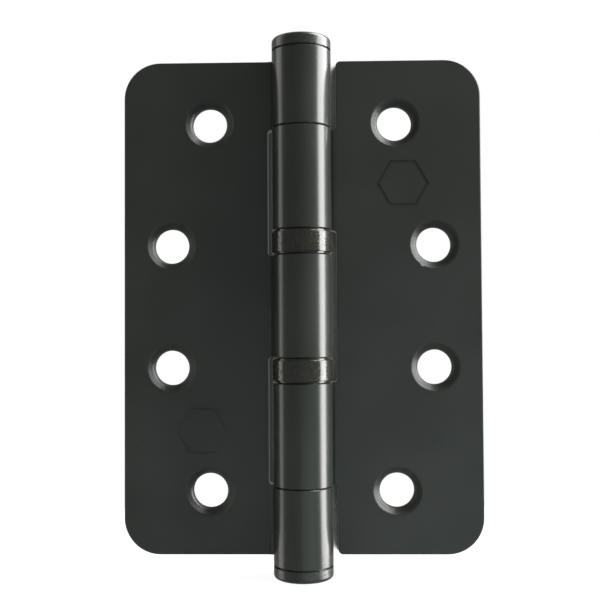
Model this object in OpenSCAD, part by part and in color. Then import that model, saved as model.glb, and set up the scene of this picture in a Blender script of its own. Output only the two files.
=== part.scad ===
// Two-ball-bearing butt hinge for a door, lying open flat.
// Origin on the pin's axis at mid height; +Z runs up the pin, the leaves spread along X,
// and the countersunk faces look towards -Y. All sizes are in millimetres.

/* [Leaves] */
// Height of both leaves, along the pin
leaf_h = 102; // [80:1:130]
// Width of the hinge when it lies open flat
open_w = 74; // [58:1:110]
// Thickness of the leaf sheet, which is also the wall of each curled knuckle
leaf_t = 3; // [2.4:0.1:3.6]
// Gap between the two leaves when the hinge is closed
closed_gap = 2.5; // [1.5:0.1:3.5]
// Radius of the four outer corners
corner_r = 7.5; // [2:0.5:9]
// Radius of the inner corners that carry no knuckle
free_corner_r = 1; // [0.4:0.1:2]

/* [Screw holes] */
// Diameter of the screw holes
hole_d = 7.2; // [4:0.1:8]
// Diameter of the countersinks at the leaf's face
sink_d = 10.4; // [8.5:0.1:11]
// From the leaf's top or bottom end to the nearest screw hole
hole_end_inset = 12.9; // [10:0.1:16]
// From the leaf's outer edge to the two holes nearest its ends
end_hole_inset = 17.7; // [14:0.1:20]
// From the leaf's outer edge to the two middle holes
middle_hole_inset = 9.7; // [7:0.1:13]

/* [Barrel] */
// Diameter of the pin
pin_d = 6.1; // [5:0.1:8]
// How far the end knuckles stand beyond the leaf's ends
knuckle_proud = 1.5; // [0.5:0.1:3]
// Length of the top and bottom knuckles
end_knuckle_l = 15.8; // [10:0.1:20]
// Gap between two knuckles that meet directly
knuckle_gap = 0.15; // [0.1:0.05:0.4]
// Gap between the barrel and the edge of the other leaf's notch
notch_gap = 1; // [0.6:0.1:1.5]
// Chamfer on the knuckles' ends
knuckle_chamfer = 0.15; // [0.05:0.05:0.4]
// Opening left between the curl's tip and the leaf
curl_gap = 0.1; // [0.05:0.05:0.4]

/* [Caps] */
// Thickness of the cap's button
cap_h = 2.8; // [1.5:0.1:5]
// Rounding of the button's outer edge
cap_round = 0.8; // [0.3:0.1:1.4]
// Depth of the cap's spigot inside the knuckle
spigot_l = 4; // [2:0.5:8]

/* [Bearings] */
// Height of each bearing, over its two races
bearing_h = 5.2; // [4.6:0.1:7]
// How far the bearing's shell stands out beyond the barrel
shell_proud = 0.15; // [0:0.05:0.5]
// Wall of the shell
shell_wall = 0.5; // [0.3:0.05:0.7]
// How far each race stands out of the shell
race_proud = 0.2; // [0.1:0.05:0.4]
// Width of race left on each side of the ball track
race_shoulder = 0.435; // [0.35:0.005:0.6]
// Number of balls in each bearing
ball_count = 12; // [6:1:12]

/* [Stamped mark] */
// Size of the plain hexagon stamped in each leaf, corner to corner
mark_d = 11; // [6:0.5:12]
// Width of the stamped line
mark_line = 0.7; // [0.4:0.1:1.2]
// Depth of the stamped line
mark_depth = 0.15; // [0.05:0.05:0.4]
// From the leaf's outer edge to the middle of the mark
mark_inset = 16.2; // [12:0.1:20]

/* [Hidden] */
$fn = 96;
// Radial clearance of the pin in its knuckles, and of a ball in its track
fit = 0.05;
// Clearance between loose pieces of a bearing
loose = 0.08;
// Clearance of the races and the cage around the pin
pin_clear = 0.15;
// Overlap that keeps cuts and joins clean
eps = 0.5;

// Barrel: the sheet curls round the pin, so its wall is the sheet's thickness
bore_r = pin_d / 2 + fit;
barrel_r = bore_r + leaf_t;
barrel_l = leaf_h + 2 * knuckle_proud;
inner_knuckle_l = (barrel_l - 2 * (end_knuckle_l + knuckle_gap + bearing_h)) / 3;

// Heights of the five knuckles, [bottom, top], numbered from the top, about mid height
k3_z = [-inner_knuckle_l / 2, inner_knuckle_l / 2];
k2_z = [k3_z[1] + bearing_h, k3_z[1] + bearing_h + inner_knuckle_l];
k1_z = [k2_z[1] + knuckle_gap, barrel_l / 2];
k4_z = [-k2_z[1], -k2_z[0]];
k5_z = [-k1_z[1], -k1_z[0]];

// The leaf's two faces: the front one lies half the closed gap behind the pin's axis
front_y = closed_gap / 2;
back_y = front_y + leaf_t;
edge_x = open_w / 2;
neck_x = barrel_r + notch_gap;
notch_fillet = notch_gap - 2 * pin_clear;

// The swage: an arc that carries the sheet from the leaf's plane to the back of the barrel
sheet_mid_y = front_y + leaf_t / 2;
curl_mid_r = bore_r + leaf_t / 2;
swage_r = (pow(neck_x, 2) - pow(curl_mid_r, 2) + pow(sheet_mid_y, 2)) / (2 * (curl_mid_r - sheet_mid_y));
swage_centre = [-neck_x, sheet_mid_y + swage_r];
swage_turn = atan2(neck_x, sheet_mid_y + swage_r);
swage_steps = 8;
// Share of the arc after which a straight run carries each face into the barrel or the bore
back_share = 0.9;
front_share = 0.85;
// Angle of the curl's tip, measured up from the -X direction
tip_angle = asin((front_y - curl_gap) / barrel_r);

// Screw holes, [x, z] on the left leaf
hole_r = hole_d / 2;
sink_r = sink_d / 2;
hole_pitch = (leaf_h - 2 * hole_end_inset) / 3;
end_hole_x = edge_x - end_hole_inset;
middle_hole_x = edge_x - middle_hole_inset;
hole_places = [
    for (side = [-1, 1]) [-end_hole_x, side * 1.5 * hole_pitch],
    for (side = [-1, 1]) [-middle_hole_x, side * hole_pitch / 2]
];

// Bearings
shell_r = barrel_r + shell_proud;
shell_in_r = shell_r - shell_wall;
lip_h = 0.4;
lip_w = 0.6;
race_in_r = pin_d / 2 + pin_clear;
race_out_r = shell_in_r - loose;
ball_d = race_out_r - race_in_r - 2 * race_shoulder;
track_r = ball_d / 2 + fit;
pitch_r = (race_out_r + race_in_r) / 2;
race_gap = 0.65 * ball_d;
cage_t = 0.5 * race_gap;
cage_side = 0.1;
shell_round = 0.8 * shell_wall;
bearing_z = [k3_z[1], k4_z[1]];
BEARINGS = ["upper", "lower"];

COAT = [0.17, 0.175, 0.17];
DARK_STEEL = [0.2, 0.2, 0.18];
STEEL = [0.62, 0.62, 0.64];
BRASS = [0.72, 0.58, 0.3];

function arc_points(centre, r, from, to, steps) =
    [for (i = [0:steps]) let (a = from + (to - from) * i / steps) centre + r * [cos(a), sin(a)]];

function polar(r, a) = r * [cos(a), sin(a)];

// The triangle between two edges that meet at a right angle and the arc that rounds them.
module corner_cut(r) {
    difference() {
        square(r + eps);
        circle(r);
    }
}

// Section through a left-hand knuckle: leaf, swage, and the sheet curled once round the pin.
module curl_section() {
    join = 90 + swage_turn;
    back = arc_points(swage_centre, swage_r - leaf_t / 2, -90, -90 + swage_turn * back_share, swage_steps);
    front = arc_points(swage_centre, swage_r + leaf_t / 2, -90, -90 + swage_turn * front_share, swage_steps);
    difference() {
        union() {
            circle(barrel_r);
            polygon(concat(
                [[-neck_x - eps, front_y], [-neck_x - eps, back_y]],
                back,
                [polar(0.98 * barrel_r, join - 10), [-bore_r, front_y]]
            ));
        }
        circle(bore_r);
        polygon(concat(
            front,
            [polar(0.8 * bore_r, join), polar(0.8 * bore_r, 180 - tip_angle)],
            [polar(0.97 * barrel_r, 180 - tip_angle), [-neck_x, front_y - curl_gap]]
        ));
    }
}

// The stretch of that section outside the barrel, which ends with the leaf.
module neck_section() {
    intersection() {
        curl_section();
        translate([-neck_x - 2 * eps, front_y - curl_gap])
            square([neck_x + 2 * eps - barrel_r / 3, barrel_r]);
    }
}

// A plain barrel length with chamfered ends.
module barrel_blank(span) {
    c = knuckle_chamfer;
    rotate_extrude()
        polygon([
            [0, span[0]],
            [barrel_r - c, span[0]],
            [barrel_r, span[0] + c],
            [barrel_r, span[1] - c],
            [barrel_r - c, span[1]],
            [0, span[1]]
        ]);
}

// One left-hand knuckle between two heights, with its neck as far as the leaf reaches.
module knuckle(span) {
    low = max(span[0], -leaf_h / 2);
    high = min(span[1], leaf_h / 2);
    intersection() {
        translate([0, 0, span[0]])
            linear_extrude(span[1] - span[0])
                curl_section();
        barrel_blank(span);
    }
    translate([0, 0, low])
        linear_extrude(high - low)
            neck_section();
}

// A small fillet where a neck's end meets the leaf's edge; side is 1 above the neck, -1 below it.
module neck_fillet(z, side) {
    translate([-neck_x, back_y, z])
        rotate([90, 0, 0])
            linear_extrude(leaf_t)
                mirror([0, side < 0 ? 1 : 0])
                    difference() {
                        translate([-eps, -eps])
                            square(notch_fillet + eps);
                        translate([notch_fillet, notch_fillet])
                            circle(notch_fillet);
                    }
}

// A countersunk screw hole through the left leaf.
module screw_hole(place) {
    depth = sink_r - hole_r;
    translate([place[0], front_y, place[1]])
        rotate([-90, 0, 0]) {
            translate([0, 0, -eps])
                cylinder(h = leaf_t + 2 * eps, r = hole_r);
            translate([0, 0, -eps])
                cylinder(h = depth + eps, r1 = sink_r + eps, r2 = hole_r);
        }
}

// The stamped hexagon line, sunk into the front face.
module stamped_mark(z) {
    translate([mark_inset - edge_x, front_y + mark_depth, z])
        rotate([90, 0, 0])
            linear_extrude(mark_depth + eps)
                difference() {
                    circle(d = mark_d, $fn = 6);
                    circle(d = mark_d - 2 * mark_line, $fn = 6);
                }
}

// The flat of the left leaf: a plate with rounded outer corners, holes and its mark.
module leaf_plate(free_ends, mark_z) {
    difference() {
        translate([0, back_y, 0])
            rotate([90, 0, 0])
                linear_extrude(leaf_t)
                    difference() {
                        translate([-edge_x, -leaf_h / 2])
                            square([edge_x - neck_x, leaf_h]);
                        for (side = [0, 1])
                            mirror([0, side]) {
                                translate([corner_r - edge_x, leaf_h / 2 - corner_r])
                                    mirror([1, 0])
                                        corner_cut(corner_r);
                                if (free_ends)
                                    translate([-neck_x - free_corner_r, leaf_h / 2 - free_corner_r])
                                        corner_cut(free_corner_r);
                            }
                    }
        for (place = hole_places)
            screw_hole(place);
        stamped_mark(mark_z);
    }
}

module left_leaf() {
    color(COAT) {
        leaf_plate(false, -hole_pitch);
        for (span = [k1_z, k3_z, k5_z])
            knuckle(span);
        neck_fillet(k1_z[0], -1);
        neck_fillet(k3_z[1], 1);
        neck_fillet(k3_z[0], -1);
        neck_fillet(k5_z[1], 1);
    }
}

module right_leaf() {
    color(COAT)
        mirror([1, 0, 0]) {
            leaf_plate(true, hole_pitch);
            for (span = [k2_z, k4_z]) {
                knuckle(span);
                neck_fillet(span[1], 1);
                neck_fillet(span[0], -1);
            }
        }
}

module hinge_pin() {
    half = barrel_l / 2 - spigot_l;
    r = pin_d / 2;
    c = 2 * knuckle_chamfer;
    color(STEEL)
        rotate_extrude()
            polygon([[0, -half], [r - c, -half], [r, -half + c], [r, half - c], [r - c, half], [0, half]]);
}

// The top button cap with its spigot; the bottom one is its mirror image.
module cap() {
    base = barrel_l / 2;
    c = 2 * knuckle_chamfer;
    color(DARK_STEEL)
        rotate_extrude()
            difference() {
                polygon([
                    [0, base - spigot_l],
                    [bore_r - c, base - spigot_l],
                    [bore_r, base - spigot_l + c],
                    [bore_r, base],
                    [barrel_r - c, base],
                    [barrel_r, base + c],
                    [barrel_r, base + cap_h],
                    [0, base + cap_h]
                ]);
                translate([barrel_r - cap_round, base + cap_h - cap_round])
                    corner_cut(cap_round);
            }
}

module top_cap() {
    cap();
}

module bottom_cap() {
    mirror([0, 0, 1])
        cap();
}

// Height of a bearing's bottom face.
function bearing_base(b) = bearing_z[b == "upper" ? 0 : 1];

// The outer shell: a ring whose two lips turn in over the races.
module shell(b) {
    low = race_proud;
    high = bearing_h - race_proud;
    lip_r = race_out_r - lip_w + loose;
    color(DARK_STEEL)
        translate([0, 0, bearing_base(b)])
            rotate_extrude()
                difference() {
                    translate([lip_r, low])
                        square([shell_r - lip_r, high - low]);
                    translate([0, low + lip_h])
                        square([shell_in_r, high - low - 2 * lip_h]);
                    translate([shell_r - shell_round, high - shell_round])
                        corner_cut(shell_round);
                    translate([shell_r - shell_round, low + shell_round])
                        mirror([0, 1])
                            corner_cut(shell_round);
                }
}

// A race washer with its ball track, bottom face at zero; side_clear frees it from the shell.
module race(side_clear) {
    step = race_proud + lip_h + side_clear;
    out_r = shell_in_r - side_clear;
    top = (bearing_h - race_gap) / 2;
    color(STEEL)
        rotate_extrude()
            difference() {
                polygon([
                    [race_in_r, 0],
                    [race_out_r - lip_w, 0],
                    [race_out_r - lip_w, step],
                    [out_r, step],
                    [out_r, top],
                    [race_in_r, top]
                ]);
                translate([pitch_r, bearing_h / 2])
                    circle(track_r);
            }
}

module bottom_race(b) {
    translate([0, 0, bearing_base(b)])
        race(0);
}

module top_race(b) {
    translate([0, 0, bearing_base(b) + bearing_h])
        mirror([0, 0, 1])
            race(loose);
}

// Angle of each ball round the pin.
function ball_angle(i) = 360 * (i - 0.5) / ball_count;

// The retainer: a thin ring with one round pocket a ball.
module cage(b) {
    color(BRASS)
        translate([0, 0, bearing_base(b) + bearing_h / 2])
            difference() {
                cylinder(h = cage_t, r = race_out_r - cage_side, center = true);
                cylinder(h = cage_t + eps, r = race_in_r + cage_side, center = true);
                for (i = [1:ball_count])
                    rotate([0, 0, ball_angle(i)])
                        translate([pitch_r, 0, 0])
                            cylinder(h = cage_t + eps, r = ball_d / 2 + loose, center = true);
            }
}

module ball(b, i) {
    color(STEEL)
        translate([0, 0, bearing_base(b) + bearing_h / 2])
            rotate([0, 0, ball_angle(i)])
                translate([pitch_r, 0, 0])
                    sphere(r = ball_d / 2, $fn = 48);
}

left_leaf();
right_leaf();
hinge_pin();
top_cap();
bottom_cap();
for (b = BEARINGS) {
    shell(b);
    top_race(b);
    bottom_race(b);
    cage(b);
    for (i = [1:ball_count])
        ball(b, i);
}
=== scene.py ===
# %% [markdown]
# A two-ball-bearing butt hinge, lying open flat.
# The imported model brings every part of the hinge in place. It could be shown as it is, but its
# edges are razor sharp and its colours are flat, and both give a computer model away.
# This lesson keeps every part where it is, softens what a press or a lathe would soften,
# and gives each metal and each coating a finish of its own.

# %% Load the hinge
import math

import bmesh
import bpy
from mathutils import Matrix, Vector


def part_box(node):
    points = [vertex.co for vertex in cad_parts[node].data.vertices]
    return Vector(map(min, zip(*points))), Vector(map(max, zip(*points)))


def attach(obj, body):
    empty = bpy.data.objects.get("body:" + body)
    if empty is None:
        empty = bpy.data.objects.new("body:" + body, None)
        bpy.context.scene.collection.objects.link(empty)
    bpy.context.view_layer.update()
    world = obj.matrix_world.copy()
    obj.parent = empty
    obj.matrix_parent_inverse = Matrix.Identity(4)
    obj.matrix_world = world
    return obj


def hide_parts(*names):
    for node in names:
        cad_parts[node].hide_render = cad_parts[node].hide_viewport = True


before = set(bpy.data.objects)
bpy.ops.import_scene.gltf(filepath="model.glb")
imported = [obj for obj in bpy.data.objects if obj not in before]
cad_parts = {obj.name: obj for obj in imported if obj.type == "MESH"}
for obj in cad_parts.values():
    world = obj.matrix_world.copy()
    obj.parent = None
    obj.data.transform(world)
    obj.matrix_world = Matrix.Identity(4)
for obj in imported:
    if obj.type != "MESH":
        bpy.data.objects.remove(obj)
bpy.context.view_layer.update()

MM = 0.001

# %% [markdown]
# The hinge's own sizes are needed again and again: how thick the barrel and the pin are, how
# long the barrel is, and how low it reaches. They could be typed in, but then they would go
# wrong as soon as the design changed, so they are read from the boxes round the parts.

# %% Read the sizes
PIN_FIT = 0.05 * MM
barrel_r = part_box("top_cap")[1].x
pin_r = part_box("hinge_pin")[1].x
barrel_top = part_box("left_leaf")[1].z
floor_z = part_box("bottom_cap")[0].z
bore_r = pin_r + PIN_FIT
print(f"barrel {2 * barrel_r / MM:.1f} mm, pin {2 * pin_r / MM:.1f} mm")
print(f"barrel length {2 * barrel_top / MM:.1f} mm")

# %% [markdown]
# A finish is a small graph of shader nodes. Wiring it by hand in code takes many lines, so a
# Wire stands for one output socket and understands arithmetic: 1 - mask adds its own Math node.
# Every other node comes from one method, which sets the node up first and then its inputs.
# A group of nodes would do the same job, but it hides the arithmetic from the reader.

# %% Shader arithmetic
class Wire:
    """One output socket, on which Python's arithmetic makes Math nodes."""

    def __init__(self, graph, socket):
        self.graph = graph
        self.socket = socket

    def math(self, operation, first, second):
        return self.graph.node("ShaderNodeMath", {"operation": operation}, {0: first, 1: second})

    def __add__(self, other):
        return self.math("ADD", self, other)

    def __mul__(self, other):
        return self.math("MULTIPLY", self, other)

    def __sub__(self, other):
        return self.math("SUBTRACT", self, other)

    def __rsub__(self, other):
        return self.math("SUBTRACT", other, self)

    __radd__ = __add__
    __rmul__ = __mul__

    def step(self, low, high):
        """Rises smoothly from 0 at low to 1 at high."""
        return self.graph.node(
            "ShaderNodeMapRange",
            {"interpolation_type": "SMOOTHSTEP"},
            {"Value": self, "From Min": low, "From Max": high},
        )


# A Mix node has a set of sockets for every kind of value. These are the colour's.
MIX_SHARE, MIX_FIRST, MIX_SECOND, MIX_RESULT = 0, 6, 7, 2


class Graph:
    """A node tree that is filled by one method."""

    def __init__(self, tree):
        self.tree = tree
        tree.nodes.clear()

    def node(self, kind, settings=None, inputs=None, output=0):
        """Adds a node, sets it up, fills its inputs and gives back one of its outputs."""
        made = self.tree.nodes.new(kind)
        for name, value in (settings or {}).items():
            setattr(made, name, value)
        for key, value in (inputs or {}).items():
            if isinstance(value, Wire):
                self.tree.links.new(value.socket, made.inputs[key])
            else:
                made.inputs[key].default_value = value
        return Wire(self, made.outputs[output]) if len(made.outputs) else made

    def mix(self, share, first, second):
        """A colour between first and second."""
        inputs = {MIX_SHARE: share, MIX_FIRST: first, MIX_SECOND: second}
        return self.node("ShaderNodeMix", {"data_type": "RGBA"}, inputs, output=MIX_RESULT)

    def noise(self, place, size, detail=2.0):
        """Cloudy values from 0 to 1, with lumps of about that size in metres."""
        inputs = {"Vector": place, "Scale": 1 / size, "Detail": detail}
        return self.node("ShaderNodeTexNoise", None, inputs)

    def bump(self, height, depth, strength):
        """Small relief, depth metres deep at most."""
        inputs = {"Height": height, "Distance": depth, "Strength": strength}
        return self.node("ShaderNodeBump", None, inputs, output="Normal")


def new_finish(name):
    """An empty material, its graph, and the object coordinates that patterns are laid out in."""
    material = bpy.data.materials.new(name)
    material.use_nodes = True
    graph = Graph(material.node_tree)
    return material, graph, graph.node("ShaderNodeTexCoord", output="Object")


def close_finish(graph, inputs):
    """Ends a finish with the shader that the patterns feed."""
    shader = graph.node("ShaderNodeBsdfPrincipled", None, inputs)
    graph.node("ShaderNodeOutputMaterial", None, {"Surface": shader})


print("Wire and Graph are ready")

# %% [markdown]
# The leaves carry a satin black coat over phosphated steel. It could be one dark grey, but the
# real coat drifts slightly in tone, carries a fine grain, holds a few dust specks, and is rubbed
# thin along its edges. It is also tighter, and so a little glossier, where the sheet is curled.
# The worn edges follow an attribute that is painted when the edges are rounded, further down.

# %% Satin leaf coat
WEAR = "edge_wear"
LEAF_DARK = (0.0128, 0.0148, 0.0122, 1)
LEAF_LIGHT = (0.0162, 0.0182, 0.0156, 1)
DUST_TONE = (0.11, 0.11, 0.10, 1)
RUBBED_TONE = (0.06, 0.06, 0.056, 1)
TONE_DRIFT = 18 * MM
GRAIN_SIZE = 0.32 * MM
GRAIN_DEPTH = 0.012 * MM
DUST_SPACING = 2.4 * MM
DUST_PATCHES = 5 * MM
RUBBED_PATCHES = 1.6 * MM
DUST_STRENGTH = 0.5
RUBBED_STRENGTH = 0.35
LEAF_ROUGHNESS = 0.40
GRAIN_ROUGHNESS = 0.10
CURL_POLISH = 0.16
CURL_SMOOTHING = 0.7
CURL_ENDS = 1.3 * barrel_r


def leaf_coat():
    material, graph, place = new_finish("leaf_coat")
    drift = graph.noise(place, TONE_DRIFT)
    grain = graph.noise(place, GRAIN_SIZE, detail=3.0)
    dust = graph.node("ShaderNodeTexVoronoi", None, {"Vector": place, "Scale": 1 / DUST_SPACING})
    speck = (1 - dust.step(0.03, 0.07)) * graph.noise(place, DUST_PATCHES).step(0.55, 0.62)
    worn = graph.node("ShaderNodeAttribute", {"attribute_name": WEAR}, output="Fac")
    worn = worn * graph.noise(place, RUBBED_PATCHES).step(0.42, 0.62)
    across = graph.node("ShaderNodeSeparateXYZ", None, {0: place}, output="X")
    from_axis = graph.node("ShaderNodeMath", {"operation": "ABSOLUTE"}, {0: across})
    curled = 1 - from_axis.step(barrel_r, CURL_ENDS)
    tone = graph.mix(drift.step(0.35, 0.65), LEAF_DARK, LEAF_LIGHT)
    tone = graph.mix(speck * DUST_STRENGTH, tone, DUST_TONE)
    tone = graph.mix(worn * RUBBED_STRENGTH, tone, RUBBED_TONE)
    close_finish(graph, {
        "Base Color": tone,
        "Roughness": LEAF_ROUGHNESS + GRAIN_ROUGHNESS * (grain - 0.5) - CURL_POLISH * curled,
        "Specular IOR Level": 0.42,
        "Normal": graph.bump(grain * (1 - CURL_SMOOTHING * curled), GRAIN_DEPTH, 0.35),
    })
    return material


LEAF_COAT = leaf_coat()
print("leaf coat:", len(LEAF_COAT.node_tree.nodes), "nodes")

# %% [markdown]
# The bearing shells and the caps are turned parts with a thinner, shinier and warmer black.
# Their coat is speckled, because it was put on over tool marks that were never sanded out.
# Both share one recipe and differ in how rough and how warm they are.

# %% Turned black coats
PIT_SIZE = 0.32 * MM
PIT_DEPTH = 0.022 * MM
COAT_DRIFT = 3 * MM
DRIFT_ROUGHNESS = 0.04


def turned_coat(name, painted_shade, light, roughness, speckle, coat):
    """A black coat that is rougher by speckle, and has no clear coat, where its pits are."""
    material, graph, place = new_finish(name)
    pits = graph.noise(place, PIT_SIZE, detail=3.0)
    drift = graph.noise(place, COAT_DRIFT)
    spots = pits.step(0.46, 0.70)
    close_finish(graph, {
        "Base Color": graph.mix(drift.step(0.3, 0.7), painted_shade, light),
        "Roughness": roughness + speckle * spots + DRIFT_ROUGHNESS * drift,
        "Specular IOR Level": 0.40,
        "Coat Weight": coat * (1 - spots),
        "Coat Roughness": 0.08,
        "Normal": graph.bump(pits, PIT_DEPTH, 0.6),
    })
    return material


CAP_COAT = turned_coat(
    "cap_coat",
    painted_shade=(0.0120, 0.0134, 0.0118, 1),
    light=(0.0165, 0.0180, 0.0160, 1),
    roughness=0.22,
    speckle=0.22,
    coat=0.05,
)
SHELL_COAT = turned_coat(
    "shell_coat",
    painted_shade=(0.0085, 0.0084, 0.0058, 1),
    light=(0.0115, 0.0112, 0.0082, 1),
    roughness=0.12,
    speckle=0.26,
    coat=0.22,
)
print("turned coats:", CAP_COAT.name, SHELL_COAT.name)

# %% [markdown]
# Inside are bare metals, seen mostly when the hinge is taken apart. A ground pin has rings all the
# way round it, and they come from noise that is read along one measure only, the height.
# A race is read by its distance from the axis. Hardening leaves it black, and only its track is
# ground bright, so the rim that stands in the seam beside the shell stays dark.
# A stretched texture would make rings too, but it would show a seam.

# %% Ground steel
RING_SIZE = 0.12 * MM
RING_DEPTH = 0.004 * MM
STAIN_SIZE = 6 * MM
STEEL_ROUGHNESS = 0.20
RING_ROUGHNESS = 0.14
STAIN_ROUGHNESS = 0.10
BLACK_ROUGHNESS = 0.25
BLACKENED = (0.016, 0.016, 0.014, 1)
BLACK_FADE = 0.05 * MM
BALLS_PER_BEARING = 12
TRACK_SHARE = 0.6
ball_boxes = [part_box(f"upper_ball_{number + 1}") for number in range(BALLS_PER_BEARING)]
ball_reach = max(high.x for low, high in ball_boxes)
ball_r = (ball_boxes[0][1].z - ball_boxes[0][0].z) / 2
track_reach = ball_reach - (1 - TRACK_SHARE) * ball_r


def grinding_marks(graph, place, measure):
    """Rings that follow one measure, and the stain that dulls them."""
    line = graph.node("ShaderNodeCombineXYZ", None, {"X": measure})
    rings = graph.noise(line, RING_SIZE, detail=3.0)
    return rings, graph.noise(place, STAIN_SIZE).step(0.45, 0.75)


def pin_steel():
    material, graph, place = new_finish("pin_steel")
    height = graph.node("ShaderNodeSeparateXYZ", None, {0: place}, output="Z")
    rings, stain = grinding_marks(graph, place, height)
    close_finish(graph, {
        "Base Color": graph.mix(stain, (0.55, 0.55, 0.56, 1), (0.42, 0.41, 0.40, 1)),
        "Metallic": 1.0,
        "Roughness": STEEL_ROUGHNESS + RING_ROUGHNESS * rings + STAIN_ROUGHNESS * stain,
        "Normal": graph.bump(rings, RING_DEPTH, 0.4),
    })
    return material


def race_steel():
    material, graph, place = new_finish("race_steel")
    flat = graph.node("ShaderNodeVectorMath", {"operation": "MULTIPLY"}, {0: place, 1: (1, 1, 0)})
    radius = graph.node("ShaderNodeVectorMath", {"operation": "LENGTH"}, {0: flat}, output="Value")
    rings, stain = grinding_marks(graph, place, radius)
    black = radius.step(track_reach - BLACK_FADE, track_reach + BLACK_FADE)
    bright = graph.mix(stain, (0.50, 0.50, 0.52, 1), (0.36, 0.36, 0.37, 1))
    ground = STEEL_ROUGHNESS + RING_ROUGHNESS * rings + STAIN_ROUGHNESS * stain
    close_finish(graph, {
        "Base Color": graph.mix(black, bright, BLACKENED),
        "Metallic": 1 - black,
        "Roughness": ground + BLACK_ROUGHNESS * black,
        "Normal": graph.bump(rings, RING_DEPTH, 0.4),
    })
    return material


PIN_STEEL = pin_steel()
RACE_STEEL = race_steel()
print(f"the races are bright out to {track_reach / MM:.2f} mm from the axis")

# %% [markdown]
# The cage is stamped from brass sheet, which tarnishes in brown patches where grease missed it.
# The balls are polished until they mirror, with only a few rolling marks that dull them.

# %% Brass cage and polished balls
TARNISH_SIZE = 1.4 * MM
BRASS_GRAIN = 0.15 * MM
BRASS_DEPTH = 0.004 * MM
BRASS_ROUGHNESS = 0.26
TARNISH_ROUGHNESS = 0.22
ROLLING_MARKS = 0.2 * MM
BALL_ROUGHNESS = 0.05
MARK_ROUGHNESS = 0.18


def stamped_brass():
    material, graph, place = new_finish("cage_brass")
    tarnish = graph.noise(place, TARNISH_SIZE, detail=4.0).step(0.45, 0.7)
    grain = graph.noise(place, BRASS_GRAIN)
    close_finish(graph, {
        "Base Color": graph.mix(tarnish, (0.62, 0.45, 0.20, 1), (0.34, 0.22, 0.09, 1)),
        "Metallic": 1.0,
        "Roughness": BRASS_ROUGHNESS + TARNISH_ROUGHNESS * tarnish,
        "Normal": graph.bump(grain, BRASS_DEPTH, 0.4),
    })
    return material


def polished_steel():
    material, graph, place = new_finish("ball_steel")
    marks = graph.noise(place, ROLLING_MARKS, detail=4.0).step(0.58, 0.68)
    close_finish(graph, {
        "Base Color": graph.mix(marks, (0.72, 0.72, 0.74, 1), (0.60, 0.60, 0.61, 1)),
        "Metallic": 1.0,
        "Roughness": BALL_ROUGHNESS + MARK_ROUGHNESS * marks,
    })
    return material


CAGE_BRASS = stamped_brass()
BALL_STEEL = polished_steel()
print("inner metals:", CAGE_BRASS.name, BALL_STEEL.name)

# %% [markdown]
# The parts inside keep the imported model's shapes, which are already right, and only take their
# finish. Their names say what they are made of, so one short table is enough.

# %% Finish the inner parts
INNER_FINISH = {"pin": PIN_STEEL, "race": RACE_STEEL, "cage": CAGE_BRASS, "ball": BALL_STEEL}
finished = 0
for name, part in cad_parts.items():
    for word, material in INNER_FINISH.items():
        if word in name.split("_"):
            part.material_slots[0].material = material
            finished += 1
print(finished, "inner parts finished")

# %% [markdown]
# A leaf is punched from 3 mm sheet and its knuckles are curled round a mandrel. Punching leaves
# no perfectly sharp edge, and without a small rounding an edge catches no light at all.
# Modelling the curl again would risk moving it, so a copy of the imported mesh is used: its loose
# triangles are merged, flat regions are joined, and the outline's edges are bevelled.
# Only edges of the flat are chosen, as far as the curl. Its slit is too narrow for a rounding.

# %% Round the leaves' edges
SQUARE_TURN = math.radians(60)
SMOOTH_TURN = math.radians(32)
EDGE_ROUND = 0.22 * MM
EDGE_SEGMENTS = 2
FLAT_FROM = barrel_r + 0.9 * MM
STRAIGHT_RUN = 5 * MM
LOW_WALL = 0.3 * MM
ON_FACE = 0.01 * MM
MERGE_WITHIN = 0.002 * MM
FLAT_WITHIN = math.radians(0.4)


def leaf_faces_y(node):
    """The flat's front and back faces, read from the outermost points, which lie on the flat."""
    points = [v.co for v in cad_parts[node].data.vertices]
    reach = max(abs(point.x) for point in points)
    heights = [point.y for point in points if abs(point.x) > reach - ON_FACE]
    return min(heights), max(heights)


def merged_copy(node):
    """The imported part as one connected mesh, with its flat regions joined."""
    form = bmesh.new()
    form.from_mesh(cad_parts[node].data)
    bmesh.ops.remove_doubles(form, verts=form.verts, dist=MERGE_WITHIN)
    bmesh.ops.dissolve_limit(form, angle_limit=FLAT_WITHIN, verts=form.verts, edges=form.edges)
    return form


def is_low_wall(face):
    """Whether a face is a wall lower than the rounding, as round the stamped mark."""
    heights = [v.co.y for v in face.verts]
    return ON_FACE < max(heights) - min(heights) < LOW_WALL


def is_outline(edge, faces_y):
    """Whether an edge runs round the flat, where a face meets a wall that stands square to it.

    A straight run that ends at the curl counts too, but the curl's own edges don't.
    """
    if not edge.is_manifold or edge.calc_face_angle() < SQUARE_TURN:
        return False
    inner = [abs(v.co.x) < FLAT_FROM for v in edge.verts]
    if all(inner) or (any(inner) and edge.calc_length() < STRAIGHT_RUN):
        return False
    if any(is_low_wall(face) for face in edge.link_faces):
        return False
    return any(all(abs(v.co.y - y) < ON_FACE for v in edge.verts) for y in faces_y)


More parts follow.
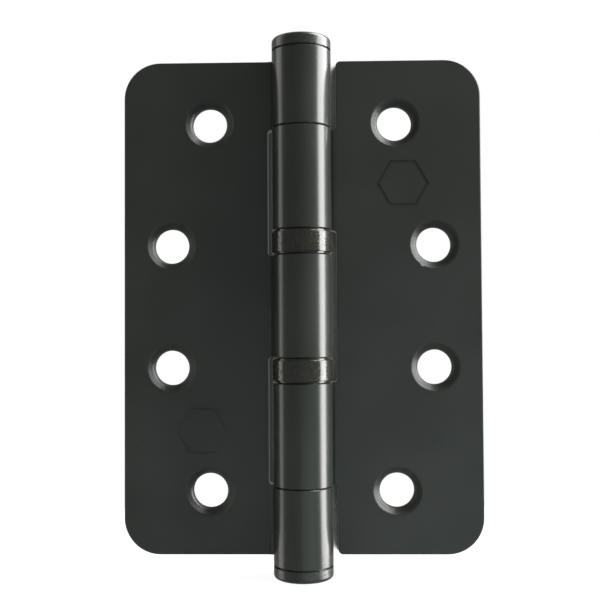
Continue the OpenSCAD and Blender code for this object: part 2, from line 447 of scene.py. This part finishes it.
def add_piece(form, name, body, material, stands_for):
    """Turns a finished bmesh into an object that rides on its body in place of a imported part."""
    mesh = bpy.data.meshes.new(name)
    open_edges = sum(1 for e in form.edges if not e.is_manifold)
    volume = form.calc_volume(signed=True) / MM**3
    form.to_mesh(mesh)
    form.free()
    mesh.polygons.foreach_set("use_smooth", [True] * len(mesh.polygons))
    mesh.set_sharp_from_angle(angle=SMOOTH_TURN)
    mesh.materials.append(material)
    piece = bpy.data.objects.new(name, mesh)
    bpy.context.scene.collection.objects.link(piece)
    even = piece.modifiers.new("even_shading", "WEIGHTED_NORMAL")
    even.keep_sharp = True
    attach(piece, body)
    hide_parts(stands_for)
    print(f"{name}: {len(mesh.polygons)} faces, {open_edges} open edges, {volume:.1f} cubic mm")


def coated_leaf(node, body):
    form = merged_copy(node)
    faces_y = leaf_faces_y(node)
    outline = [e for e in form.edges if is_outline(e, faces_y)]
    wear = form.loops.layers.float.new(WEAR)
    rounded = bmesh.ops.bevel(
        form,
        geom=outline,
        offset=EDGE_ROUND,
        segments=EDGE_SEGMENTS,
        affect="EDGES",
        profile=0.5,
        material=-1,
    )
    for face in rounded["faces"]:
        for loop in face.loops:
            loop[wear] = 1.0
    print(f"{node}: {len(outline)} edges rounded")
    add_piece(form, node + "_coated", body, LEAF_COAT, node)


front_y, back_y = leaf_faces_y("left_leaf")
print(f"sheet {(back_y - front_y) / MM:.2f} mm thick")
coated_leaf("left_leaf", "left_side")
coated_leaf("right_leaf", "right_side")

# %% [markdown]
# The caps and the bearing shells are turned on a lathe, so they are made the same way here: half
# a section is drawn as a few points and spun once round the axis. Their edges are then rounded.
# A stack of cylinders would leave hard steps between them.

# %% Spin the turned parts
TURNS = 96
SAME_POINT = 0.001 * MM
RIM_SHARE = 0.99


def turned(section):
    """Spins a section of (radius, height) points round the pin's axis into a closed solid."""
    form = bmesh.new()
    points = [form.verts.new((radius, 0, height)) for radius, height in section]
    closed = section[0][0] > 0
    following = points[1:] + points[:1] if closed else points[1:]
    edges = [form.edges.new(pair) for pair in zip(points, following)]
    bmesh.ops.spin(
        form,
        geom=points + edges,
        axis=(0, 0, 1),
        cent=(0, 0, 0),
        angle=math.tau,
        steps=TURNS,
        use_merge=True,
    )
    bmesh.ops.remove_doubles(form, verts=form.verts, dist=SAME_POINT)
    bmesh.ops.recalc_face_normals(form, faces=form.faces)
    return form


def round_ring(form, rim, height, offset, segments):
    """Rounds the ring of edges at a given height that lies on the rim's radius."""
    ring = [
        edge for edge in form.edges
        if all(math.hypot(v.co.x, v.co.y) > RIM_SHARE * rim for v in edge.verts)
        and all(abs(v.co.z - height) < ON_FACE for v in edge.verts)
    ]
    bmesh.ops.bevel(
        form,
        geom=ring,
        offset=offset,
        segments=segments,
        affect="EDGES",
        profile=0.5,
        material=-1,
    )


print("turning with", TURNS, "steps")

# %% [markdown]
# A cap is a button with a spigot that is pressed into the end knuckle. Its top is very slightly
# crowned and its rim is well rounded, so that it doesn't catch a sleeve. The button sits on a
# narrow neck, and the groove round that neck draws the dark line between the cap and the barrel.
# A chamfer would be simpler, but a slope catches the lamps and turns the line bright.

# %% Caps
CAP_RIM = 0.8 * MM
CAP_RIM_SEGMENTS = 6
CAP_CROWN = 0.12 * MM
CROWN_REACH = 0.55
CROWN_FALL = 0.3
SPIGOT_CHAMFER = 0.3 * MM
GROOVE_HEIGHT = 0.3 * MM
GROOVE_DEPTH = 0.45 * MM


def button_cap(node, side):
    low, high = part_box(node)
    outer = max(abs(low.z), abs(high.z))
    inner = min(abs(low.z), abs(high.z))
    section = [
        (0, inner),
        (bore_r - SPIGOT_CHAMFER, inner),
        (bore_r, inner + SPIGOT_CHAMFER),
        (bore_r, barrel_top),
        (barrel_r - GROOVE_DEPTH, barrel_top),
        (barrel_r - GROOVE_DEPTH, barrel_top + GROOVE_HEIGHT),
        (barrel_r, barrel_top + GROOVE_HEIGHT),
        (barrel_r, outer - CAP_CROWN),
        (CROWN_REACH * barrel_r, outer - CROWN_FALL * CAP_CROWN),
        (0, outer),
    ]
    form = turned([(radius, side * height) for radius, height in section])
    round_ring(form, barrel_r, side * (outer - CAP_CROWN), CAP_RIM, CAP_RIM_SEGMENTS)
    add_piece(form, node + "_coated", "left_side", CAP_COAT, node)


button_cap("top_cap", 1)
button_cap("bottom_cap", -1)

# %% [markdown]
# Each bearing is held together by a thin shell whose two lips are rolled in over the races.
# Rolling draws the ends in to a slightly smaller neck, with a soft shoulder beside it. The neck
# makes the black seam on both sides of the shell, and the shoulder its one bright glint.

# %% Bearing shells
SHELL_WALL = 0.5 * MM
LIP_HEIGHT = 0.4 * MM
LIP_REACH = 0.6 * MM
NECK_HEIGHT = 0.26 * MM
NECK_DEPTH = 0.42 * MM
SHOULDER = 0.18 * MM
SHOULDER_SEGMENTS = 3


def bearing_shell(node, body):
    low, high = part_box(node)
    outer = min(high.x, high.y, -low.x, -low.y)
    wall = outer - SHELL_WALL
    lip = wall - LIP_REACH
    neck = outer - NECK_DEPTH
    bottom, top = low.z + NECK_HEIGHT, high.z - NECK_HEIGHT
    section = [
        (lip, low.z),
        (neck, low.z),
        (neck, bottom),
        (outer, bottom),
        (outer, top),
        (neck, top),
        (neck, high.z),
        (lip, high.z),
        (lip, high.z - LIP_HEIGHT),
        (wall, high.z - LIP_HEIGHT),
        (wall, low.z + LIP_HEIGHT),
        (lip, low.z + LIP_HEIGHT),
    ]
    form = turned(section)
    for height in (bottom, top):
        round_ring(form, outer, height, SHOULDER, SHOULDER_SEGMENTS)
    add_piece(form, node + "_coated", body, SHELL_COAT, node)


bearing_shell("upper_shell", "left_side")
bearing_shell("lower_shell", "right_side")

# %% [markdown]
# The camera stands square in front of the hinge, a little below its middle, with a normal lens.
# A long lens further away would hide the small perspective that opens the slots on both sides.

# %% Camera
CAMERA_PLACE = (4.26 * MM, -193.0 * MM, -4.2 * MM)
LENS = 56.4
YAW, PITCH, ROLL = math.radians(1.41), math.radians(1.62), math.radians(-0.31)

camera_data = bpy.data.cameras.new("camera")
camera_data.lens = LENS
camera_data.sensor_width = 36.0
camera_data.clip_start = 0.01
camera = bpy.data.objects.new("camera", camera_data)
bpy.context.scene.collection.objects.link(camera)
turn = Matrix.Rotation(YAW, 4, "Z") @ Matrix.Rotation(math.pi / 2 + PITCH, 4, "X")
turn = turn @ Matrix.Rotation(ROLL, 4, "Z")
camera.matrix_world = Matrix.Translation(CAMERA_PLACE) @ turn
bpy.context.scene.camera = camera
print("camera at", [round(c / MM, 1) for c in CAMERA_PLACE], "mm")

# %% [markdown]
# The hinge stands on a round pale floor. Polished and coated metal mirrors what is round it, and
# a floor would cut off the lower half of the lamps in that mirror, so the floor lets lamps and
# reflections through. It is there for the eye, and for the light it throws back upwards.

# %% Floor
FLOOR_R = 90 * MM
FLOOR_SIDES = 96
FLOOR_TONE = (0.8, 0.8, 0.8, 1)
FLOOR_GLOW = 1.12
GLOW_SHARE = 0.84


def pale_floor():
    form = bmesh.new()
    bmesh.ops.create_circle(form, cap_ends=True, radius=FLOOR_R, segments=FLOOR_SIDES)
    bmesh.ops.translate(form, verts=form.verts, vec=(0, 0, floor_z))
    mesh = bpy.data.meshes.new("floor")
    form.to_mesh(mesh)
    form.free()
    material, graph, _ = new_finish("floor")
    seen = graph.node("ShaderNodeLightPath", output="Is Camera Ray")
    matt = graph.node("ShaderNodeBsdfDiffuse", None, {"Color": FLOOR_TONE})
    glow = graph.node("ShaderNodeEmission", None, {"Color": (1, 1, 1, 1), "Strength": FLOOR_GLOW})
    both = graph.node("ShaderNodeMixShader", None, {0: seen * GLOW_SHARE, 1: matt, 2: glow})
    graph.node("ShaderNodeOutputMaterial", None, {"Surface": both})
    mesh.materials.append(material)
    floor = bpy.data.objects.new("floor", mesh)
    bpy.context.scene.collection.objects.link(floor)
    floor.visible_glossy = False
    floor.visible_shadow = False


pale_floor()
print(f"floor at {floor_z / MM:.1f} mm")

# %% [markdown]
# Where a hinge lies against a surface, its slots show that surface in the hinge's own shade:
# darkest in the middle, lighter at an open end. A whole board would hide the hinge's back, so a
# thin strip stands inside the sheet's thickness instead, where metal covers it everywhere but in
# the slots. The strip carries painted shade: no lamp lights it, and it glows in a fixed dark tone.
# Each point measures how open it is towards its leaf, shows the painted shade where the leaf
# shuts it in, and turns clear when the leaf swings away. A strip of a fixed darkness would stay
# behind. It looks the same from both sides, so the slots read dark from the back as well.

# %% Shade in the slots
SHADE_DEPTH = 0.2 * MM
SHADE_HALF_WIDTH = barrel_r + 1.2 * MM
SHADE_REACH = 14 * MM
SHADE_TONE = (0.029, 0.034, 0.031, 1)
SHADE_SAMPLES = 16
SHUT_IN = 0.29
OPEN_AIR = 0.50
OUTWARD = math.sqrt(0.5)


def slot_shade():
    low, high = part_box("right_leaf")
    form = bmesh.new()
    bmesh.ops.create_grid(form, x_segments=1, y_segments=1, size=1.0)
    bmesh.ops.scale(form, verts=form.verts, vec=(SHADE_HALF_WIDTH, (high.z - low.z) / 2, 1))
    bmesh.ops.rotate(form, verts=form.verts, matrix=Matrix.Rotation(math.pi / 2, 3, "X"))
    place_y = leaf_faces_y("right_leaf")[1] - SHADE_DEPTH
    bmesh.ops.translate(form, verts=form.verts, vec=(0, place_y, (low.z + high.z) / 2))
    mesh = bpy.data.meshes.new("slot_shade")
    form.to_mesh(mesh)
    form.free()
    material, graph, place = new_finish("slot_shade")
    across = graph.node("ShaderNodeSeparateXYZ", None, {0: place}, output="X")
    side = graph.node("ShaderNodeMath", {"operation": "SIGN"}, {0: across})
    outward = graph.node("ShaderNodeCombineXYZ", None, {"X": side * OUTWARD, "Y": -OUTWARD})
    openness = graph.node(
        "ShaderNodeAmbientOcclusion",
        {"samples": SHADE_SAMPLES},
        {"Distance": SHADE_REACH, "Normal": outward},
        output="AO",
    )
    cleared = openness.step(SHUT_IN, OPEN_AIR)
    clear = graph.node("ShaderNodeBsdfTransparent")
    # The dark glow is painted shade, a fixed tone that no lamp lights, shown where the strip is shut
    # in.
    painted_shade = graph.node("ShaderNodeEmission", None, {"Color": SHADE_TONE, "Strength": 1.0})
    both = graph.node("ShaderNodeMixShader", None, {0: cleared, 1: painted_shade, 2: clear})
    graph.node("ShaderNodeOutputMaterial", None, {"Surface": both})
    mesh.materials.append(material)
    strip = bpy.data.objects.new("slot_shade", mesh)
    bpy.context.scene.collection.objects.link(strip)
    strip.visible_glossy = False
    strip.visible_diffuse = False
    strip.visible_shadow = False
    print(f"shade strip {2 * SHADE_HALF_WIDTH / MM:.1f} mm wide, {place_y / MM:.2f} mm behind the axis")


slot_shade()

# %% [markdown]
# The surround is plain white to the eye and dimmer to the metal, because a fully white room
# turns a black coat grey.

# %% Surround
FILL = 0.36
FILL_TONE = (0.97, 1.0, 0.97, 1)


def surround():
    world = bpy.data.worlds.new("surround")
    bpy.context.scene.world = world
    world.use_nodes = True
    graph = Graph(world.node_tree)
    seen = graph.node("ShaderNodeLightPath", output="Is Camera Ray")
    white = graph.node("ShaderNodeBackground", None, {"Color": (1, 1, 1, 1), "Strength": 1.0})
    fill = graph.node("ShaderNodeBackground", None, {"Color": FILL_TONE, "Strength": FILL})
    both = graph.node("ShaderNodeMixShader", None, {0: seen, 1: fill, 2: white})
    graph.node("ShaderNodeOutputWorld", None, {"Surface": both})


surround()
bpy.context.scene.view_settings.view_transform = "Standard"
print("surround fill", FILL)

# %% [markdown]
# A round barrel shows a lamp as a bright line along its length, and where that line falls tells
# where the lamp stands: a line seven tenths of the way to the edge means a lamp straight out to
# the side. A tall soft lamp on the right gives the strong line and a weaker one on the left the
# faint line. A broad bluish lamp low in front opens up the lower right.

# %% Lamps
def soft_lamp(name, place, size, radiance, colour=(1, 1, 1)):
    """A rectangular lamp that faces the hinge; radiance is its brightness as the metal sees it."""
    data = bpy.data.lights.new(name, "AREA")
    data.shape = "RECTANGLE"
    data.size, data.size_y = size
    data.energy = radiance * math.pi * size[0] * size[1]
    data.color = colour
    lamp = bpy.data.objects.new(name, data)
    bpy.context.scene.collection.objects.link(lamp)
    lamp.location = place
    lamp.rotation_euler = (-Vector(place)).to_track_quat("-Z", "Y").to_euler()
    print(f"{name}: {data.energy:.1f} W")


soft_lamp(
    "right_lamp",
    place=(0.60, 0.03, 0.285),
    size=(0.58, 1.33),
    radiance=17.6,
)
soft_lamp(
    "left_lamp",
    place=(-0.60, 0.06, 0.10),
    size=(0.30, 1.10),
    radiance=2.5,
    colour=(1, 1, 0.94),
)
soft_lamp(
    "front_lamp",
    place=(0.24, -0.70, -0.26),
    size=(0.70, 0.32),
    radiance=0.60,
    colour=(0.66, 0.96, 1),
)
